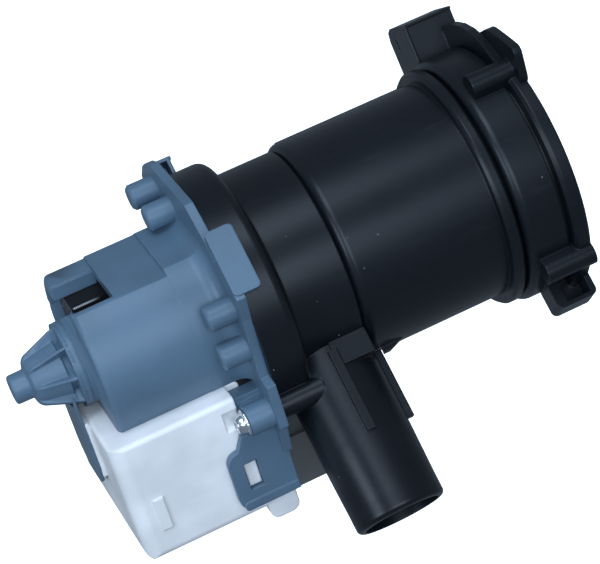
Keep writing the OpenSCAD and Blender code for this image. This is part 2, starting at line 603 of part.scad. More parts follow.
// filter insert: plug with handle, seal and basket
plug_r = mouth_r - move_clear;
plug_x0 = -mouth_l + 0.8;
groove_x = plug_x0 + 3;
module filter_plug() color("#23272c") difference() {
    union() {
        turned([[0, plug_x0], [plug_r - 1, plug_x0], [plug_r, plug_x0 + 1], [plug_r, -2.2],
            [plug_r - 0.8, -1.4], [plug_r - 2.6, -1.4], [plug_r - 3.4, plug_x0 + 4.6],
            [0, plug_x0 + 4.6]]);
        intersection() {
            along(plug_x0 + 3, -2) rounded([-plug_r + 3, -4.2], [plug_r - 3, 4.2], 4);
            rod(plug_x0, 0, plug_r - 2, 0, 0, 96);
        }
        for (s = [0, 180]) rotate([s, 0, 0]) intersection() {
            rod(-lug_in - lug_w - move_clear, -lug_in - move_clear, mouth_r + lug_reach - move_clear,
                0, 0, 96);
            along(-20, 2) polygon([plug_r * 0.9 * [cos(lug_angle / 2), -sin(lug_angle / 2)],
                60 * [cos(lug_angle / 2), -sin(lug_angle / 2)],
                60 * [cos(lug_angle / 2), sin(lug_angle / 2)],
                plug_r * 0.9 * [cos(lug_angle / 2), sin(lug_angle / 2)]]);
        }
    }
    turned([[plug_r - 2.4, groove_x - 1.3], [plug_r + 1, groove_x - 1.3], [plug_r + 1, groove_x + 1.3],
        [plug_r - 2.4, groove_x + 1.3]]);
}
module filter_seal() color("#101214") ring_seal(plug_r - 1.15, 1.2, groove_x);
basket_t = 2;
module filter_basket() color("#3a4047") difference() {
    union() {
        turned([[basket_r - basket_t, plug_x0 - basket_l], [basket_r, plug_x0 - basket_l],
            [basket_r, plug_x0], [basket_r - basket_t, plug_x0]]);
        intersection() {
            for (a = [0, 90]) rotate([a, 0, 0]) box([plug_x0 - basket_l, -basket_r + 1, -1.4],
                [plug_x0 - basket_l + 3, basket_r - 1, 1.4]);
            rod(plug_x0 - basket_l, plug_x0, basket_r - 0.5, 0, 0, 96);
        }
        rod(plug_x0 - basket_l, plug_x0 - basket_l + 3, 5);
    }
    for (i = [0:basket_slots / 2 - 1]) rotate([(i + 0.5) * 360 / basket_slots, 0, 0])
        box([plug_x0 - basket_l + 5, -basket_r - 1, -2.4], [plug_x0 - 4, basket_r + 1, 2.4]);
}

filter_chamber();
impeller_casing();
motor_housing();
winding_case();
connector_housing();
terminal_live();
terminal_neutral();
stator_core();
coil_near();
coil_far();
rotor_magnet();
rotor_shaft();
drive_dog();
front_bearing();
rear_bearing();
chamber_cap();
casing_seal();
joint_seal();
impeller();
locking_screw();
filter_plug();
filter_basket();
filter_seal();
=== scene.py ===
"""A washing machine drain pump: black filter chamber and impeller casing, blue motor housing, white winding case.

The solids are loaded as the frame. The finishes, the screw, the windings and the marks of moulding are made here,
in metres, in the frame of the pump: +X runs along the pump axis out of the filter mouth, -Y along the spout.
"""

import math

import bmesh
import bpy
import numpy as np
from bpy.props import FloatProperty, FloatVectorProperty, PointerProperty
from mathutils import Matrix, Vector
from mathutils.kdtree import KDTree


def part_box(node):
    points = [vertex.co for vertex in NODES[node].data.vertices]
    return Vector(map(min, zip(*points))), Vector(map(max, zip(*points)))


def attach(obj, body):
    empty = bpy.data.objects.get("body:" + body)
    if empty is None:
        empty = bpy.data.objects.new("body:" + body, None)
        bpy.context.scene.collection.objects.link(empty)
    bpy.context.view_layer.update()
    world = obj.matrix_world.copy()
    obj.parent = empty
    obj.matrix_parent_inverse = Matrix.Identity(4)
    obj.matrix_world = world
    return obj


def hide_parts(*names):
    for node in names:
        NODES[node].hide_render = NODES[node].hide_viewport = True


bl_info = {
    "name": "Drain Pump",
    "version": (1, 0, 0),
    "blender": (4, 5, 0),
    "location": "View3D > Sidebar > Drain Pump",
    "description": "Finishes and fine pieces of a washing machine drain pump",
    "category": "Object",
}

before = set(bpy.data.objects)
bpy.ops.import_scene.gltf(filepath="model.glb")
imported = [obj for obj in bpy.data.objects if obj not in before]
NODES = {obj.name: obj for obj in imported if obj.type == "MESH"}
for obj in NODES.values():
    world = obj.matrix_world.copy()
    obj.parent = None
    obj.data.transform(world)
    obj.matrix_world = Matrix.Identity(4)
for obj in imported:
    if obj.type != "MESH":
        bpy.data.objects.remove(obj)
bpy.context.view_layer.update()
MM = 0.001
ROOT_HALF = math.sqrt(0.5)
BLACK, BLUE, WHITE = "black glass filled plastic", "blue moulded plastic", "white moulded plastic"


# ---- settings ------------------------------------------------------------------------------------------------------

def tint(name, words, colour):
    """A colour setting with its name, description and default, in linear light."""
    return FloatVectorProperty(name=name, description=words, default=colour, subtype="COLOR", min=0.0, max=1.0, size=3)


def length(name, words, metres, least=0.0, most=0.2):
    """A length setting in metres."""
    return FloatProperty(name=name, description=words, default=metres, min=least, max=most, unit="LENGTH", precision=5)


def power(name, words, watts):
    """The power of a light in watts."""
    return FloatProperty(name=name, description=words, default=watts, min=0.0, max=200.0, unit="POWER")


class PumpFinish(bpy.types.PropertyGroup):
    """Colours and surface grain of the pump's materials."""

    black: tint("Black moulding", "Chamber, casing, cap and filter plug", (0.0045, 0.0060, 0.0086))
    blue: tint("Blue moulding", "Motor housing", (0.087, 0.143, 0.201))
    white: tint("White moulding", "Winding case", (0.81, 0.79, 0.775))
    grey: tint("Grey moulding", "Connector block", (0.165, 0.165, 0.16))
    wheel: tint("Impeller plastic", "Impeller and filter basket", (0.030, 0.034, 0.040))
    copper: tint("Enamelled copper", "Wire of the windings", (0.46, 0.17, 0.055))
    zinc: tint("Bright zinc", "Locking screw", (0.72, 0.74, 0.77))
    grain: length("Moulding grain", "Size of the fine grain of the plastics", 0.00042, 0.0001, 0.002)
    softness: length("Edge softness", "Radius that the edges of the plastics seem to have", 0.0006, 0.0, 0.002)


class PumpDetail(bpy.types.PropertyGroup):
    """Sizes of the pieces that are made here."""

    head_r: length("Screw head radius", "Radius of the washer under the screw head", 0.0044, 0.003, 0.005)
    thread_pitch: length("Thread pitch", "Pitch of the locking screw's thread", 0.0014, 0.0006, 0.003)
    thread_r: length("Thread radius", "Outside radius of the locking screw's thread", 0.00188, 0.001, 0.0019)
    wire_r: length("Wire radius", "Radius of the enamelled wire", 0.00022, 0.0001, 0.0005)
    flash_r: length("Parting line", "Half the width of the raised parting lines", 0.00016, 0.00005, 0.0004)
    lamination: length("Lamination", "Thickness of one sheet of the core", 0.0006, 0.0003, 0.001)


class PumpStudio(bpy.types.PropertyGroup):
    """Camera, floor and light."""

    lens: FloatProperty(name="Lens", description="Focal length of the camera", default=144.0, min=35.0, max=300.0,
                        unit="CAMERA")
    floor_z: length("Floor height", "Height of the floor under the pump", -0.22, -1.0, 0.0)
    key: power("Key light", "Power of the soft box behind the camera", 10.1)
    top: power("Top light", "Power of the soft box over the pump", 9.6)
    side: power("Side light", "Power of the soft box on the motor's side", 6.0)
    sky: FloatProperty(name="Room light", description="Strength of the light from all round", default=0.28, min=0.0,
                       max=5.0)
    glow: FloatProperty(name="Floor glow", description="Light that the pale floor gives off", default=0.75, min=0.0,
                        max=5.0)


def settings(name):
    """One of the groups of settings that register puts on the scene."""
    return getattr(bpy.context.scene, name)


# ---- shader maths --------------------------------------------------------------------------------------------------

class Value:
    """One number of a shader. The operators + - * and > add Math nodes to its sheet."""

    def __init__(self, sheet, socket):
        self.sheet, self.socket = sheet, socket

    def __add__(self, o): return self.sheet.math("ADD", self, o)
    def __sub__(self, o): return self.sheet.math("SUBTRACT", self, o)
    def __mul__(self, o): return self.sheet.math("MULTIPLY", self, o)
    def __gt__(self, o): return self.sheet.math("GREATER_THAN", self, o)
    def __radd__(self, o): return self.sheet.math("ADD", o, self)
    def __rsub__(self, o): return self.sheet.math("SUBTRACT", o, self)
    def __rmul__(self, o): return self.sheet.math("MULTIPLY", o, self)

    def sine(self): return self.sheet.math("SINE", self)

    def step(self, low, high):
        """0 below low, 1 above high, smooth between."""
        made = self.sheet.node("ShaderNodeMapRange", {"interpolation_type": "SMOOTHSTEP"},
                               {"Value": self, "From Min": low, "From Max": high})
        return Value(self.sheet, made.outputs[0])


class Sheet:
    """The node tree of one material, with its surface shader."""

    def __init__(self, name):
        self.material = bpy.data.materials.new(name)
        self.material.use_nodes = True
        self.tree = self.material.node_tree
        self.shader = next(n for n in self.tree.nodes if n.type == "BSDF_PRINCIPLED")
        self.place = self.node("ShaderNodeTexCoord").outputs["Object"]

    def node(self, kind, settings=None, values=None):
        """A node of that kind: its settings are set first, then each value goes into the named socket, as a link or
        a number."""
        made = self.tree.nodes.new(kind)
        for key, value in (settings or {}).items():
            setattr(made, key, value)
        for key, value in (values or {}).items():
            self.feed(self.socket(made, key), value)
        return made

    def math(self, operation, *values):
        """The result of a Math node."""
        made = self.node("ShaderNodeMath", {"operation": operation}, dict(enumerate(values)))
        return Value(self, made.outputs[0])

    @staticmethod
    def socket(made, key):
        """An input of a node, by its number or by its name among those in use."""
        if isinstance(key, int):
            return made.inputs[key]
        return next(s for s in made.inputs if s.enabled and s.name == key)

    def feed(self, socket, value):
        """Links a socket or a Value, or sets a plain number or colour."""
        if isinstance(value, Value):
            value = value.socket
        if isinstance(value, bpy.types.NodeSocket):
            self.tree.links.new(value, socket)
        elif isinstance(value, tuple) and len(value) == 3 and socket.type == "RGBA":
            socket.default_value = (*value, 1.0)
        else:
            socket.default_value = value

    def axis(self, index, place=None):
        """The X, Y or Z of a place as a number."""
        split = self.node("ShaderNodeSeparateXYZ", None, {0: place or self.place})
        return Value(self, split.outputs[index])

    def stretched(self, scale):
        """The place with each axis scaled."""
        return self.node("ShaderNodeMapping", None, {"Vector": self.place, "Scale": scale}).outputs[0]

    def noise(self, scale, detail=2.0, place=None, rough=0.5):
        """Smooth noise between 0 and 1; scale is in waves per metre."""
        made = self.node("ShaderNodeTexNoise", None, {"Vector": place or self.place, "Scale": scale,
                                                      "Detail": detail, "Roughness": rough})
        return Value(self, made.outputs[0])

    def mix(self, factor, a, b):
        """A colour between a and b."""
        made = self.node("ShaderNodeMix", {"data_type": "RGBA"}, {"Factor": factor, "A": a, "B": b})
        return next(s for s in made.outputs if s.enabled)

    def edges(self, radius):
        """(normal with soft edges, 0 on a face and up to 1 on a sharp edge). The edge is where the softened normal
        leans away from the true one: 1 - dot(soft, true)."""
        soft = self.node("ShaderNodeBevel", {"samples": 6}, {"Radius": radius}).outputs[0]
        true = self.node("ShaderNodeNewGeometry").outputs["Normal"]
        dot = self.node("ShaderNodeVectorMath", {"operation": "DOT_PRODUCT"}, {0: soft, 1: true}).outputs["Value"]
        return soft, (1.0 - Value(self, dot)).step(0.01, 0.3)

    def finish(self, colour, rough, normal=None, **others):
        """Feeds the surface shader and gives the material. Other sockets are named with _ in place of a space."""
        self.feed(self.shader.inputs["Base Color"], colour)
        self.feed(self.shader.inputs["Roughness"], rough)
        if normal is not None:
            self.feed(self.shader.inputs["Normal"], normal)
        for key, value in others.items():
            self.feed(self.shader.inputs[key.replace("_", " ")], value)
        return self.material

    def bump(self, height, strength, distance, normal=None):
        """A normal tilted by a height, over the given normal or the surface's own."""
        values = {"Height": height, "Strength": strength, "Distance": distance}
        if normal is not None:
            values["Normal"] = normal
        return self.node("ShaderNodeBump", None, values).outputs[0]


def shade(colour, factor, lift=0.0):
    """A colour made lighter or darker, as plain numbers."""
    return tuple(min(1.0, c * factor + lift) for c in colour)


def moulded(name, colour, rough, grain, soft, dust=0.0, gloss=0.5, edge_highlight=1.35):
    """Moulded plastic: slow cloudy change of tint, fine grain, faint scuffs, paler edges that are a painted highlight,
    and a few specks of dust.
    """
    s = Sheet(name)
    normal, edge = s.edges(soft)
    cloud = s.noise(38.0, 3.0)
    fine = s.noise(1.0 / grain, 2.0)
    scuff = s.noise(420.0, 4.0, s.stretched((0.16, 1.0, 1.0)), 0.65).step(0.56, 0.74)
    body = s.mix(cloud.step(0.3, 0.7), shade(colour, 0.9), shade(colour, 1.1))
    # painted highlight: the edges are made paler, as if light catches them
    body = s.mix(edge * 0.5, body, shade(colour, edge_highlight, 0.006))
    body = s.mix(scuff * 0.14, body, shade(colour, 1.3, 0.012))
    if dust:
        speck = s.node("ShaderNodeTexVoronoi", None, {"Vector": s.place, "Scale": 120.0, "Randomness": 1.0})
        chosen = Value(s, s.node("ShaderNodeSeparateColor", None, {0: speck.outputs["Color"]}).outputs[0]) > 0.3
        near = 1.0 - Value(s, speck.outputs["Distance"]).step(0.018, 0.036)
        body = s.mix(near * chosen * dust, body, (0.30, 0.32, 0.34))
    roughness = rough + (cloud - 0.5) * 0.10 + (fine - 0.5) * 0.06 + scuff * 0.07 - edge * 0.05
    relief = fine * 0.7 + s.noise(0.22 / grain, 1.0) * 0.3
    return s.finish(body, roughness, s.bump(relief, 0.16, grain * 0.12, normal), Specular_IOR_Level=gloss)


def metal(name, colour, rough, wave=0.0, along=0):
    """Metal with fine drawing lines along one axis; wave adds to the strength of their relief."""
    s = Sheet(name)
    normal, edge = s.edges(0.25 * MM)
    across, lengthways = 2200.0, 90.0
    scale = [across] * 3
    scale[along] = lengthways
    lines = s.noise(1.0, 2.0, s.stretched(tuple(scale)))
    cloud = s.noise(140.0, 2.0)
    body = s.mix(cloud.step(0.3, 0.7), shade(colour, 0.86), shade(colour, 1.05))
    # painted highlight: the edges are made paler, as if light catches them
    body = s.mix(edge * 0.4, body, shade(colour, 1.2, 0.02))
    return s.finish(body, rough + (lines - 0.5) * 0.18 + (cloud - 0.5) * 0.1,
                    s.bump(lines, 0.2 + wave, 0.02 * MM, normal), Metallic=1.0)


def dress(material, *names):
    """Puts a material on CAD nodes, through their objects' slots."""
    for name in names:
        piece = NODES[name]
        if not piece.material_slots:
            piece.data.materials.append(None)
        for slot in piece.material_slots:
            slot.link = "OBJECT"
            slot.material = material


# ---- surfaces ------------------------------------------------------------------------------------------------------

def grid_faces(rows, columns, round_rows=False, round_columns=False):
    """Quads of a rows by columns grid of points, closed round either way where asked."""
    i = np.arange(rows if round_rows else rows - 1)[:, None]
    j = np.arange(columns if round_columns else columns - 1)[None, :]
    i2, j2 = (i + 1) % rows, (j + 1) % columns
    quads = np.stack([i * columns + j, i2 * columns + j, i2 * columns + j2, i * columns + j2], -1)
    return quads.reshape(-1, 4).tolist()


def tidy_mesh(mesh, outward=True):
    """Merges the doubles of a mesh and turns its faces outwards, unless they are to stay as they are."""
    work = bmesh.new()
    work.from_mesh(mesh)
    bmesh.ops.remove_doubles(work, verts=work.verts, dist=1e-7)
    if outward:
        bmesh.ops.recalc_face_normals(work, faces=work.faces)
    work.to_mesh(mesh)
    work.free()


def mesh_of(name, points, faces):
    """A mesh with its doubles merged and its faces turned outwards."""
    mesh = bpy.data.meshes.new(name)
    mesh.from_pydata(points.tolist(), [], faces)
    tidy_mesh(mesh)
    return mesh


def object_of(name, data):
    """An object at the origin, linked to the scene."""
    made = bpy.data.objects.new(name, data)
    bpy.context.scene.collection.objects.link(made)
    return made


def piece_of(name, parts, material, sharp=None):
    """One object from (points, faces) parts, riding on the housing. Edges over sharp degrees stay crisp."""
    faces, start = [], 0
    for points, rows in parts:
        faces += [[i + start for i in row] for row in rows]
        start += points.size // 3
    mesh = mesh_of(name, np.concatenate([points.reshape(-1, 3) for points, _ in parts]), faces)
    mesh.shade_smooth()
    if sharp:
        mesh.set_sharp_from_angle(angle=math.radians(sharp))
    mesh.materials.append(material)
    made = object_of(name, mesh)
    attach(made, "housing")
    return made


def motor_point(x, up, near):
    """Points from the motor's own frame, which stands 45 degrees round the pump axis: up is its height and near its
    near side. y = (up - near) / sqrt 2, z = (up + near) / sqrt 2."""
    x, up, near = np.broadcast_arrays(x, up, near)
    return np.stack([x, (up - near) * ROOT_HALF, (up + near) * ROOT_HALF], -1)


def circle(count):
    """Angles once round, as a row."""
    return np.linspace(0.0, math.tau, count, endpoint=False)[None, :]


def turned(profile, centre, count):
    """An open turned surface about a line along X: each profile point (x, radius) sweeps a circle."""
    profile = np.asarray(profile, float)
    a = circle(count)
    x = np.repeat(profile[:, :1], count, 1)
    p = np.stack([x, centre[0] + profile[:, 1:2] * np.cos(a), centre[1] + profile[:, 1:2] * np.sin(a)], -1)
    return p, grid_faces(len(profile), count, False, True)


def smooth(t):
    """0 below 0, 1 above 1, and 3 t^2 - 2 t^3 between."""
    t = np.clip(t, 0.0, 1.0)
    return t * t * (3 - 2 * t)


def motor_block(x, up, near):
    """A box in the motor's frame, from (low, high) pairs in millimetres: its eight corners and six faces."""
    x, up, near = np.meshgrid(np.array(x) * MM, np.array(up) * MM, np.array(near) * MM, indexing="ij")
    faces = [[0, 1, 3, 2], [4, 6, 7, 5], [0, 4, 5, 1], [2, 3, 7, 6], [0, 2, 6, 4], [1, 5, 7, 3]]
    return motor_point(x, up, near).reshape(-1, 3), faces


def motor_turned(profile, count, spread=math.pi, middle=0.0):
    """A closed profile of (x, radius) millimetres carried round the motor's axis, to spread on either side of middle,
    an angle from up towards near. Short of a whole turn, both its ends are closed by the profile itself."""
    profile = np.asarray(profile, float) * MM
    whole = spread >= math.pi
    a = middle + np.linspace(-spread, spread, count, endpoint=not whole)[None, :]
    x = np.repeat(profile[:, :1], count, 1)
    points = motor_point(x, profile[:, 1:2] * np.cos(a), profile[:, 1:2] * np.sin(a))
    faces = grid_faces(len(profile), count, True, whole)
    if not whole:
        rows = np.arange(len(profile)) * count
        faces += [rows.tolist(), (rows + count - 1)[::-1].tolist()]
    return points.reshape(-1, 3), faces


def keep_normals(mesh, source, barrel):
    """Corners that no cut has touched get the source's own normals: same place, and a face turned the same way.
    New corners on the barrel, the cylinder of that radius round the motor's axis, point straight out from the axis."""
    same_place, same_way = 0.003 * MM, 0.999
    side_on, near_barrel = 0.02, 0.06 * MM
    tree = KDTree(len(source.loops))
    owner = [face.normal for face in source.polygons for _ in face.loop_indices]
    for loop in source.loops:
        tree.insert(source.vertices[loop.vertex_index].co, loop.index)
    tree.balance()
    normals = [corner.vector.copy() for corner in mesh.corner_normals]
    for face in mesh.polygons:
        for i in face.loop_indices:
            place = mesh.vertices[mesh.loops[i].vertex_index].co
            hits = tree.find_range(place, same_place)
            best = max(hits, key=lambda hit: owner[hit[1]].dot(face.normal), default=None)
            if best and owner[best[1]].dot(face.normal) > same_way:
                normals[i] = source.corner_normals[best[1]].vector.copy()
            elif abs(face.normal.x) < side_on:
                out = place * Vector((0.0, 1.0, 1.0))
                if abs(out.length - barrel) < near_barrel:
                    normals[i] = out.normalized()
    mesh.normals_split_custom_set(normals)


def carved(name, node, cutters, material, barrel=0.0):
    """Stands for a CAD node: a merged copy of its mesh with closed cutters, (points, faces), taken away."""
    crisp = 32
    mesh = NODES[node].data.copy()
    mesh.name = name
    tidy_mesh(mesh, False)
    made = object_of(name, mesh)
    tools = [object_of("cutter", mesh_of("cutter", points, faces)) for points, faces in cutters]
    for tool in tools:
        step = made.modifiers.new("cut", "BOOLEAN")
        step.operation, step.object, step.solver = "DIFFERENCE", tool, "EXACT"
    result = bpy.data.meshes.new_from_object(made.evaluated_get(bpy.context.evaluated_depsgraph_get()))
    made.modifiers.clear()
    made.data = result
    for tool in tools:
        bpy.data.objects.remove(tool)
    result.materials.clear()
    result.materials.append(material)
    result.shade_smooth()
    result.set_sharp_from_angle(angle=math.radians(crisp))
    keep_normals(result, NODES[node].data, barrel)
    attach(made, "housing")
    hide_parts(node)
    return made


# ---- pieces and groups ---------------------------------------------------------------------------------------------

class PUMP_OT_mouldings(bpy.types.Operator):
    """Gives the black, blue, white and grey mouldings their plastics."""

    bl_idname = "pump.mouldings"
    bl_label = "Mouldings"

    def execute(self, context):
        finish = settings("pump_finish")
        grain, soft = finish.grain, finish.softness
        dress(moulded(BLACK, tuple(finish.black), 0.34, grain, soft, dust=0.6, gloss=0.3), "filter_chamber",
              "impeller_casing", "filter_plug", "chamber_cap")
        dress(moulded(BLUE, tuple(finish.blue), 0.42, grain, soft, dust=0.12, gloss=0.45, edge_highlight=1.25), "motor_housing")
        dress(moulded(WHITE, tuple(finish.white), 0.48, grain, soft * 1.6, gloss=0.4, edge_highlight=1.12), "winding_case")
        dress(moulded("grey moulded plastic", tuple(finish.grey), 0.55, grain, soft * 0.6, gloss=0.35),
              "connector_housing")
        dress(moulded("impeller plastic", tuple(finish.wheel), 0.46, grain, soft * 0.4), "impeller", "filter_basket")
        dress(moulded("bearing bush plastic", (0.085, 0.085, 0.09), 0.4, grain, soft * 0.3), "front_bearing",
              "rear_bearing")
        return {"FINISHED"}


class PUMP_OT_rubbers(bpy.types.Operator):
    """Gives the seals their rubber: nearly black, soft sheen, talc in the pores."""

    bl_idname = "pump.rubbers"
    bl_label = "Seals"

    def execute(self, context):
        s = Sheet("seal rubber")
        pore = s.noise(900.0, 3.0, None, 0.6)
        talc = s.noise(160.0, 4.0).step(0.58, 0.8)
        colour = s.mix(talc * 0.35, (0.0085, 0.0085, 0.009), (0.075, 0.075, 0.072))
        dress(s.finish(colour, 0.62 + (pore - 0.5) * 0.25, s.bump(pore, 0.25, 0.00004), Specular_IOR_Level=0.4),
              "casing_seal", "joint_seal", "filter_seal")
        return {"FINISHED"}


class PUMP_OT_metals(bpy.types.Operator):
    """Gives the shaft, dog, blades, magnet and laminated core their metals."""

    bl_idname = "pump.metals"
    bl_label = "Metals"

    def execute(self, context):
        dress(metal("ground shaft steel", (0.60, 0.61, 0.63), 0.22), "rotor_shaft", "drive_dog")
        dress(metal("blade brass", (0.70, 0.53, 0.24), 0.30, 0.1, 1), "terminal_live", "terminal_neutral")
        s = Sheet("sintered ferrite")
        cloud = s.noise(260.0, 4.0, None, 0.6)
        dress(s.finish(s.mix(cloud, (0.035, 0.036, 0.04), (0.075, 0.075, 0.08)), 0.42 + (cloud - 0.5) * 0.3,
                       s.bump(s.noise(1500.0, 3.0), 0.2, 0.03 * MM), Metallic=0.35), "rotor_magnet")

        # the core: bright sheets with dark gaps and a little rust on the lip. The bright lip is a painted highlight
        # that fades out towards the front, and the rest of the core is painted shade, nearly black, for the deep slot
        steel_and_highlight, rusty, dark = (0.80, 0.81, 0.84), (0.28, 0.19, 0.13), (0.05, 0.05, 0.055)
        painted_shade = (0.008, 0.0075, 0.0075)
        s = Sheet("laminated core steel")
        sheets = (s.axis(0) * (math.tau / settings("pump_detail").lamination)).sine()
        gap = 1.0 - sheets.step(-1.0, -0.55)
        rust = s.noise(180.0, 4.0).step(0.55, 0.75)
        steel = s.mix(gap * 0.85, s.mix(rust * 0.3, steel_and_highlight, rusty), dark)
        up = (s.axis(1) + s.axis(2)) * ROOT_HALF
        # painted highlight on the lip above 18.7 mm, fading out between -150 and -145 mm; painted shade everywhere
        # else
        painted_highlight = up.step(18.7 * MM, 18.9 * MM) * (1.0 - s.axis(0).step(-150.0 * MM, -145.0 * MM))
        core_lit_and_shaded = s.finish(s.mix(painted_highlight, painted_shade, steel), 0.34 + gap * 0.3 + rust * 0.2, s.bump(sheets, 0.5, 0.06 * MM),
                          Metallic=painted_highlight * 0.4, Specular_IOR_Level=0.25)
        # its top is cut down on both sides of the lip, which runs from near 1.7 to 2.3 mm
        along, top = (-157.0, -126.0), (16.6, 30.0)
        sides = [motor_block(along, top, (-32.0, 1.7)), motor_block(along, top, (2.3, 32.0))]
        made = carved("stator_core_detail", "stator_core", sides, core_lit_and_shaded)
        return {"FINISHED"}


class PUMP_OT_motor(bpy.types.Operator):
    """Gives the motor housing its rounded rear end, wide slot, round collar and ribbed nose, and the winding case its
    pad under the cover plate."""

    bl_idname = "pump.motor"
    bl_label = "Motor housing"

    def execute(self, context):
        blue, white = bpy.data.materials[BLUE], bpy.data.materials[WHITE]
        crisp = 40

        # cuts in the solid, in mm. Rear edge: a quarter circle between the end face and the shell
        end, corner, shell, clear = -157.6, 2.0, 29.0, -162.3
        a = np.linspace(math.pi, math.pi / 2, 9)
        edge = [(end + corner + corner * np.cos(t), shell - corner + corner * np.sin(t)) for t in a]
        trim = motor_turned([(clear, 14.1), (end, 14.1), *edge, (end + corner, 33.0), (clear, 33.0)], 160)
        # the slot beside the roof, and its way out through the end wall: three steps and a sector round the hub
        slot = motor_block((-161.0, -143.2), (17.4, 30.0), (-10.5, -3.0))
        outer, inner = wall = (-158.4, -154.4)
        hub, out = 14.13, 17.4
        gates = [motor_block(wall, (14.2, 30.0), (-10.5, 13.6)),
                 motor_block(wall, (9.6, 16.8), (-22.0, -10.4)),
                 motor_block(wall, (-2.0, 9.7), (-27.2, -14.2)),
                 motor_turned([(outer, hub), (inner, hub), (inner, out), (outer, out)], 64, math.radians(39),
                              math.radians(-55))]
        cover = [motor_block((-165.2, -163.95), (-45.0, -3.0), (-13.0, 13.0)),
                 motor_block((-165.2, -161.9), (-15.6, -8.0), (-13.0, 13.0))]
        tail = motor_turned([(-190.0, 0.0), (-162.15, 0.0), (-162.15, 13.8), (-162.6, 13.8), (-173.6, 9.5),
                             (-174.0, 8.7), (-190.0, 8.7)], 64)
        made = carved("motor_housing_detail", "motor_housing", [trim, slot, *gates, *cover, tail], blue, shell * MM)

        # collar under the nose with a groove behind it, side wall of the slot, and strut to the cover plate
        foot, groove = end + 0.4, 12.3
        collar = motor_turned([(-161.1, 11.6), (-161.1, 13.8), (-160.95, 14.05), (-160.7, 14.15), (-159.2, 14.15),
                               (-158.95, 14.05), (-158.8, 13.8), (-158.8, groove), (foot, groove), (foot, 11.6)],
                              128, math.radians(145.5))
        side = motor_block((end + 0.3, -142.8), (16.8, 21.5), (-11.4, -10.4))
        strut = motor_block((-165.6, foot), (-14.3, -8.0), (-9.0, 0.0))
        piece_of("motor_collar", [collar, side, strut], blue, crisp)
        depth = (-165.3, -163.85)
        pads = [motor_block(depth, (-36.0, -15.2), (-11.8, 11.9)), motor_block(depth, (-41.0, -36.0), (-6.0, 6.0))]
        piece_of("winding_case_pad", pads, white, crisp)

        # nose: rows of (x, valley, crest) in mm. radius = valley + (crest - valley) * rib, where rib is 1 within half
        # a rib's width of its middle and falls smoothly to 0 in the valleys
        cone = [(-163.9 - 9.1 * t, 10.0 - 1.9 * t, 12.9 - 3.6 * t) for t in np.linspace(0.03, 1, 24)]
        rows = np.array([(-160.9, 0.0, 0.0), (-160.9, 8.7, 13.3), (-162.2, 8.7, 13.45), (-163.6, 8.9, 13.1),
                         (-163.9, 9.7, 12.95), *cone, (-173.6, 7.9, 8.95), (-174.1, 7.7, 8.5), (-174.6, 7.3, 7.9),
                         (-175.0, 6.8, 7.1), (-175.3, 6.1, 6.2), (-175.45, 5.4, 5.4), (-175.7, 5.0, 5.0),
                         (-176.1, 4.9, 4.9), (-180.3, 4.85, 4.85), (-180.8, 4.72, 4.72), (-181.1, 4.4, 4.4),
                         (-181.24, 4.0, 4.0), (-181.25, 0.0, 0.0)]) * MM
        x, valley, crest = rows[:, :1], rows[:, 1:2], rows[:, 2:3]
        ribs, first, count = 8, math.radians(10), 320
        half, flank = 0.85 * MM, 0.35 * MM
        around, pitch = circle(count), math.tau / ribs
        off = np.abs((around + first + pitch / 2) % pitch - pitch / 2)
        radius = valley + (crest - valley) * smooth((half - off * crest) / flank)
        points = motor_point(x, radius * np.cos(around), radius * np.sin(around))
        piece_of("motor_nose", [(points, grid_faces(len(rows), count, False, True))], blue, 50)
        return {"FINISHED"}


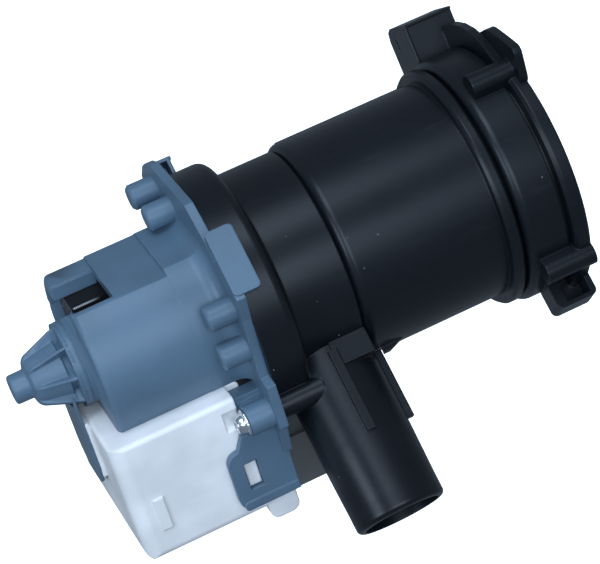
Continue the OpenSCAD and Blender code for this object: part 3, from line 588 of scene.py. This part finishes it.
class PUMP_OT_screw(bpy.types.Operator):
    """Makes the locking screw with its washer head, cross recess and rolled thread."""

    bl_idname = "pump.screw"
    bl_label = "Locking screw"

    def execute(self, context):
        detail = settings("pump_detail")
        low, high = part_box("locking_screw")
        centre = ((low[1] + high[1]) / 2, (low[2] + high[2]) / 2)
        tip, crown, seat = high[0], low[0], low[0] + 4.0 * MM
        zinc = metal("bright zinc plate", tuple(settings("pump_finish").zinc), 0.2, 0.15)

        # thread: radius = core + rise * (triangle wave of x / pitch - angle / turn), fading out at both ends
        sides, turns = 48, 320
        x, a = np.linspace(seat, tip, turns)[:, None], circle(sides)
        wave = np.abs(((x / detail.thread_pitch - a / math.tau) % 1.0) - 0.5) * 2
        rise = 0.42 * MM * smooth((x - seat - 2.2 * MM) / MM)
        point = smooth((tip - x) / (2.4 * MM))
        blunt = 0.25
        radius = (detail.thread_r - rise + rise * smooth((wave - 0.45) / 0.5)) * (blunt + (1 - blunt) * point)
        shank = np.stack([x + 0 * a, centre[0] + radius * np.cos(a), centre[1] + radius * np.sin(a)], -1)
        cap = turned([(tip, blunt * detail.thread_r), (tip, 0.0)], centre, sides)

        # washer and pan, rows of (height, radius, share of the knurl) in mm. The knurl is a square wave of the angle
        rim = np.array([(0.0, 1.9, 0), (0.0, 4.3, 1), (0.25, 4.44, 1), (0.75, 4.44, 1), (1.0, 4.3, 1), (1.05, 3.35, 0),
                        (1.6, 3.3, 0), (2.5, 3.1, 0), (3.2, 2.75, 0)])
        height, radius, share = (rim[:, i:i + 1] for i in range(3))
        facets, teeth, nick = 144, 36, 0.02
        b = circle(facets)
        r = radius * MM * (1.0 - nick * share * (np.cos(teeth * b) > 0)) * detail.head_r / (4.44 * MM)
        side = np.stack([seat - height * MM + 0 * b, centre[0] + r * np.cos(b), centre[1] + r * np.sin(b)], -1)

        # crown: height = dome - recess, the recess being a cross with a round floor and four thin marks between
        pan_r, pan_h, rings = 2.75 * MM, 3.2 * MM, 40
        q = np.linspace(1, 0, rings)[:, None] * pan_r
        dome = pan_h + (seat - crown - pan_h) * np.sqrt(np.clip(1 - (q / pan_r) ** 2, 0, 1))
        turn = b + 0.35

        def cross(angle, half, soft):
            """1 on two bars that cross at right angles, half being half the width of a bar, and 0 beside them."""
            return np.maximum(smooth((half - np.abs(q * np.sin(angle))) / soft),
                              smooth((half - np.abs(q * np.cos(angle))) / soft))

        arm, thin = cross(turn, 0.42 * MM + 0.12 * q, 0.22 * MM), cross(turn + math.pi / 4, 0.16 * MM, 0.1 * MM)
        depth = 1.9 * MM * arm * smooth((1.95 * MM - q) / (0.7 * MM)) + 0.2 * MM * thin * smooth((1.9 * MM - q) / MM)
        top = np.stack([seat - (dome - depth), centre[0] + q * np.cos(b), centre[1] + q * np.sin(b)], -1)
        parts = [(shank, grid_faces(turns, sides, False, True)), cap,
                 (side, grid_faces(len(rim), facets, False, True)), (top, grid_faces(rings, facets, False, True))]
        made = piece_of("locking_screw_detail", parts, zinc)
        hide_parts("locking_screw")
        return {"FINISHED"}


class PUMP_OT_windings(bpy.types.Operator):
    """Winds the two coils: a section ribbed by the wire, carried round a rectangle with round corners."""

    bl_idname = "pump.windings"
    bl_label = "Windings"

    def execute(self, context):
        copper, wire = tuple(settings("pump_finish").copper), settings("pump_detail").wire_r
        s = Sheet("enamelled copper wire")
        cloud = s.noise(210.0, 3.0)
        enamel = s.finish(s.mix(cloud, shade(copper, 0.75), shade(copper, 1.2)), 0.28 + (cloud - 0.5) * 0.2,
                          s.bump(s.noise(700.0), 0.1, 0.03 * MM), Metallic=0.75, Coat_Weight=0.4)
        deep, corner, inset = 4.6 * MM, 1.6 * MM, 0.15 * MM
        near, far = 5.4 * MM + deep, 27.6 * MM - deep

        # section: (distance out, height) in rows of wire, each a half circle of the wire's radius
        top, tall, finer = -30.8 * MM, 14.4 * MM, 6
        rows, layers = int(tall / (2 * wire)), int(deep / (2 * wire))
        t, v = np.linspace(0, rows, rows * finer + 1), np.linspace(0, layers, layers * finer + 1)
        rib, rib_v = (wire * (np.abs(np.sin(w * math.pi)) - 1.0) for w in (t, v))
        outer = np.stack([deep + rib, top - tall * t / rows], -1)
        foot = np.stack([deep * (1 - v / layers), top - tall - rib_v], -1)[1:-1]
        inner = np.stack([0 * t, top - tall * (1 - t / rows)], -1)
        head = np.stack([deep * v / layers, top + rib_v], -1)[1:-1]
        section = np.concatenate([outer, foot, inner, head])

        for name, side in (("coil_near", 1.0), ("coil_far", -1.0)):
            # path: the inner rectangle, each corner an arc, with its outward direction
            low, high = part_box(name)
            back, front = low[0] + inset + deep, high[0] - inset - deep
            arcs = [(front - corner, far - corner, 0.0), (back + corner, far - corner, math.pi / 2),
                    (back + corner, near + corner, math.pi), (front - corner, near + corner, 1.5 * math.pi)]
            a = np.linspace(0, math.pi / 2, 10)
            angle = np.concatenate([a + start for _, _, start in arcs])
            base = np.concatenate([np.repeat([[cx, cn]], len(a), 0) for cx, cn, _ in arcs])
            out = np.stack([np.cos(angle), np.sin(angle)], -1)
            flat = base[:, None, :] + out[:, None, :] * (corner + section[None, :, :1])
            points = motor_point(flat[..., 0], section[None, :, 1] + 0 * flat[..., 0], side * flat[..., 1])
            faces = grid_faces(len(base), len(section), True, True)
            made = piece_of(name + "_windings", [(points, faces)], enamel)
            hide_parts(name)
        return {"FINISHED"}


def ridge(start, end, radius):
    """A thin raised line between two points: a round section carried along it, drawn in to nothing at its ends."""
    sides, steps, ends = 8, 24, 1 / 40
    start, end = np.asarray(start, float), np.asarray(end, float)
    way = (end - start) / np.linalg.norm(end - start)
    other = np.cross(way, (0.0, 0.0, 1.0) if abs(way[2]) < 0.9 else (0.0, 1.0, 0.0))
    other /= np.linalg.norm(other)
    third = np.cross(way, other)
    t, a = np.linspace(0, 1, steps)[:, None, None], circle(sides)[..., None]
    fade = np.sqrt(np.clip(np.minimum(t, 1 - t) / ends, 0, 1)) * radius
    points = start + t * (end - start) + fade * (np.cos(a) * other + np.sin(a) * third)
    return points, grid_faces(steps, sides, False, True)


class PUMP_OT_parting(bpy.types.Operator):
    """Adds the fine raised lines that the halves of the moulds leave on the spout and the inlet collar, and the long
    soft shoulder of the spout."""

    bl_idname = "pump.parting"
    bl_label = "Parting lines"

    def execute(self, context):
        black = bpy.data.materials[BLACK]
        r = settings("pump_detail").flash_r
        sink = r * 0.35     # how far the middle of a line lies under the wall
        # a line follows its spigot's wall in straight stretches: (radius, start, stop) along the spigot's own axis
        spout_x, inlet_x = -0.0888, -0.0501
        spout_end, inlet_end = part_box("impeller_casing")[0][1] + 0.0022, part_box("filter_chamber")[0][2] + 0.0015
        spout = [(0.0153, -0.0385, -0.0660), (0.0151, -0.0660, -0.0770), (0.0150, -0.0770, spout_end)]
        inlet = [(0.0194, -0.0372, -0.0419), (0.0190, -0.0423, inlet_end)]
        lines = [ridge((spout_x + s * (radius - sink), start, 0.0), (spout_x + s * (radius - sink), stop, 0.0), r)
                 for s in (-1, 1) for radius, start, stop in spout]
        piece_of("spout_parting_lines", lines, black)
        lines = [ridge((inlet_x + s * (radius - sink), 0.0, start), (inlet_x + s * (radius - sink), 0.0, stop), r)
                 for s in (-1, 1) for radius, start, stop in inlet]
        piece_of("inlet_parting_lines", lines, black)

        # shoulder: a sleeve that rises out of the root's wall and falls slowly to the end's radius, rows of
        # (y, radius) in mm, turned about the spout
        rows = [(-58.5, 14.6), (-58.5, 15.2), (-60.4, 15.262), (-62.3, 15.312), (-63.3, 15.314), (-65.5, 15.28),
                (-70.0, 15.19), (-75.0, 15.095), (-80.0, 15.006), (-82.0, 14.97), (-84.0, 14.93), (-84.0, 14.6)]
        count = 192
        sleeve, _ = turned(np.array(rows) * MM, (spout_x, 0.0), count)
        shoulder = sleeve[..., [1, 0, 2]], grid_faces(len(rows), count, True, True)
        piece_of("spout_shoulder", [shoulder], black, 40)
        return {"FINISHED"}


class PUMP_OT_studio(bpy.types.Operator):
    """Sets the pale floor, the soft light and the camera."""

    bl_idname = "pump.studio"
    bl_label = "Studio"

    def execute(self, context):
        studio = settings("pump_studio")
        scene = context.scene
        a = circle(96)[0]
        floor_r = 3.2
        rim = np.stack([floor_r * np.cos(a), floor_r * np.sin(a), 0 * a + studio.floor_z], -1)
        mesh = bpy.data.meshes.new("floor")
        mesh.from_pydata(rim.tolist(), [], [range(len(a))])
        floor = object_of("floor", mesh)
        s = Sheet("pale floor")
        mesh.materials.append(s.finish((0.93, 0.94, 0.95), 0.8, None, Specular_IOR_Level=0.1,
                                       Emission_Color=(1.0, 1.0, 1.0), Emission_Strength=studio.glow))
        floor.visible_diffuse = floor.visible_glossy = False

        tone = (0.66, 0.81, 1.0)
        world = bpy.data.worlds.new("room")
        scene.world = world
        world.use_nodes = True
        tree = world.node_tree
        tree.nodes.clear()
        out = tree.nodes.new("ShaderNodeOutputWorld")
        back = tree.nodes.new("ShaderNodeBackground")
        back.inputs["Color"].default_value = (*tone, 1.0)
        back.inputs["Strength"].default_value = studio.sky
        tree.links.new(back.outputs[0], out.inputs[0])

        # soft boxes turned towards the middle of the pump: name, place, width, height, power
        middle = Vector((-0.09, -0.01, 0.0))
        for name, place, width, height, watts in (("key_box", (-0.246, -0.400, 1.230), 0.9, 0.66, studio.key),
                                                  ("top_box", (-0.245, 0.608, 1.133), 0.9, 0.60, studio.top),
                                                  ("side_box", (-1.180, -0.143, 0.660), 0.45, 0.45, studio.side)):
            light = bpy.data.lights.new(name, "AREA")
            light.shape, light.size, light.size_y = "RECTANGLE", width, height
            light.energy, light.color = watts, tone
            lamp = object_of(name, light)
            lamp.location = place
            lamp.rotation_euler = (middle - Vector(place)).to_track_quat("-Z", "Y").to_euler()

        camera = bpy.data.cameras.new("camera")
        camera.lens, camera.sensor_width, camera.sensor_fit = studio.lens, 36.0, "HORIZONTAL"
        camera.clip_start, camera.clip_end = 0.05, 20.0
        eye = object_of("camera", camera)
        right, up, back_way = (0.89144, -0.44505, 0.08523), (0.40724, 0.86934, 0.28001), (-0.19872, -0.21491, 0.95620)
        turn = Matrix((right, up, back_way)).transposed().to_4x4()
        eye.matrix_world = Matrix.Translation((-0.23563, -0.17056, 0.72941)) @ turn
        scene.camera = eye
        scene.view_settings.view_transform = "Standard"
        return {"FINISHED"}


class PUMP_PT_panel(bpy.types.Panel):
    """Lists the steps that dress the pump, with their settings."""

    bl_label = "Drain Pump"
    bl_space_type = "VIEW_3D"
    bl_region_type = "UI"
    bl_category = "Drain Pump"

    def draw(self, context):
        for operator in OPERATORS:
            self.layout.operator(operator.bl_idname)
        for name, group in GROUPS.items():
            box = self.layout.box()
            box.label(text=name.replace("_", " "))
            for key in group.__annotations__:
                box.prop(getattr(context.scene, name), key)


OPERATORS = (PUMP_OT_mouldings, PUMP_OT_rubbers, PUMP_OT_metals, PUMP_OT_motor, PUMP_OT_screw, PUMP_OT_windings,
             PUMP_OT_parting, PUMP_OT_studio)
GROUPS = {"pump_finish": PumpFinish, "pump_detail": PumpDetail, "pump_studio": PumpStudio}


def register():
    for item in (*GROUPS.values(), *OPERATORS, PUMP_PT_panel):
        bpy.utils.register_class(item)
    for name, group in GROUPS.items():
        setattr(bpy.types.Scene, name, PointerProperty(type=group))


def unregister():
    for name in GROUPS:
        delattr(bpy.types.Scene, name)
    for item in reversed((*GROUPS.values(), *OPERATORS, PUMP_PT_panel)):
        bpy.utils.unregister_class(item)


def main():
    register()
    for operator in OPERATORS:
        group, name = operator.bl_idname.split(".")
        getattr(getattr(bpy.ops, group), name)()


if __name__ == "__main__":
    main()
